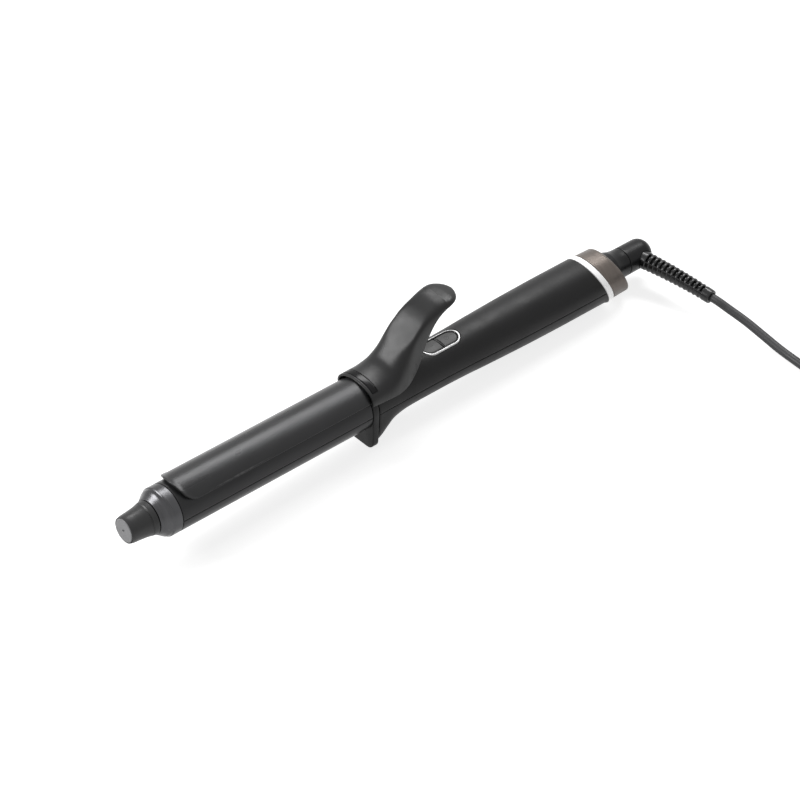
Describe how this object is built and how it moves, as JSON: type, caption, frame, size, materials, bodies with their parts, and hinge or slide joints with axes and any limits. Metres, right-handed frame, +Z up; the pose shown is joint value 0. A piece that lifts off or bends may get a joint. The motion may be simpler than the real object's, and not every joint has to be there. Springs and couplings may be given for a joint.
{
  "type": "curling tong",
  "caption": "Hair curling tong: heated barrel with a spring lever clamp, cool tip, stand foot, ribbed relief on a swivel and a mains cord coiled beside it.",
  "frame": {"origin": "centre of the tong's box, at the surface it lies on, the free cord left out", "axes": "+X towards the cord swivel, the tip at -X, +Y away from the side the cord leaves, +Z up"},
  "size_m": [0.4391, 0.2119, 0.0654],
  "materials": {
    "charcoal_soft": "soft satin, charcoal",
    "barrel_coat": "satin dark coating on aluminium",
    "tip_plastic": "satin",
    "satin_metal": "satin",
    "pale_plastic": "satin",
    "pewter": "satin pewter",
    "light_white": "translucent white",
    "chrome": "bright",
    "button_grey": "satin",
    "gloss_black": "glossy",
    "black_plastic": "satin",
    "heater_ceramic": "bare ceramic",
    "heat_plastic": "heat-proof moulding",
    "board_green": "lacquered",
    "steel": "plain",
    "cord_rubber": "matt jacket"
  },
  "bodies": {
    "tong_body": {"barrel_lower_half": "barrel_coat", "barrel_socket": "heat_plastic", "barrel_upper_half": "barrel_coat", "button_bezel": "chrome", "circuit_board": "board_green", "cool_tip": "tip_plastic", "cord_coil": "cord_rubber", "cord_run": "cord_rubber", "cord_tail": "cord_rubber", "end_collar": "pewter", "handle_lower_shell": "charcoal_soft", "handle_screw_front": "steel", "handle_screw_rear": "steel", "handle_upper_shell": "charcoal_soft", "heater_carrier": "heat_plastic", "heater_plate_lower": "heater_ceramic", "heater_plate_upper": "heater_ceramic", "hinge_pin": "steel", "light_ring": "light_white", "mode_switch": "black_plastic", "plug_body": "black_plastic", "plug_pin_left": "steel", "plug_pin_right": "steel", "power_switch": "black_plastic", "stand_collar": "charcoal_soft", "swivel_neck": "black_plastic", "tip_face": "pale_plastic", "tip_ring": "satin_metal", "torsion_spring": "steel"},
    "clamp_lever": {"clamp_plate": "barrel_coat", "clamp_screw_left": "steel", "clamp_screw_right": "steel", "lever": "charcoal_soft", "lever_insert": "gloss_black"},
    "power_button": {"power_button": "button_grey"},
    "mode_button": {"mode_button": "button_grey"},
    "cable_swivel": {"swivel_drum": "black_plastic", "strain_relief": "gloss_black", "retaining_clip": "steel"}
  },
  "joints": [
    {"name": "lever_hinge", "type": "hinge", "parent": "tong_body", "child": "clamp_lever", "pos_m": [-0.00154, 0, 0.03537], "axis": [0, 1, 0], "range_deg": [0, 30], "stiffness_Nm_per_rad": 0.3, "springref_deg": -28.65, "deforming": ["torsion_spring"]},
    {"name": "power_button_press", "type": "slide", "parent": "tong_body", "child": "power_button", "axis": [-0.033, 0, -0.9995], "range_m": [0, 0.0006], "stiffness_N_per_m": 800, "springref_m": -0.0003},
    {"name": "mode_button_press", "type": "slide", "parent": "tong_body", "child": "mode_button", "axis": [-0.033, 0, -0.9995], "range_m": [0, 0.0006], "stiffness_N_per_m": 800, "springref_m": -0.0003},
    {"name": "cord_swivel", "type": "hinge", "parent": "tong_body", "child": "cable_swivel", "pos_m": [0.15755, 0, 0.01511], "axis": [-0.9995, 0, 0.033], "continuous": true, "deforming": ["cord_run"]}
  ]
}
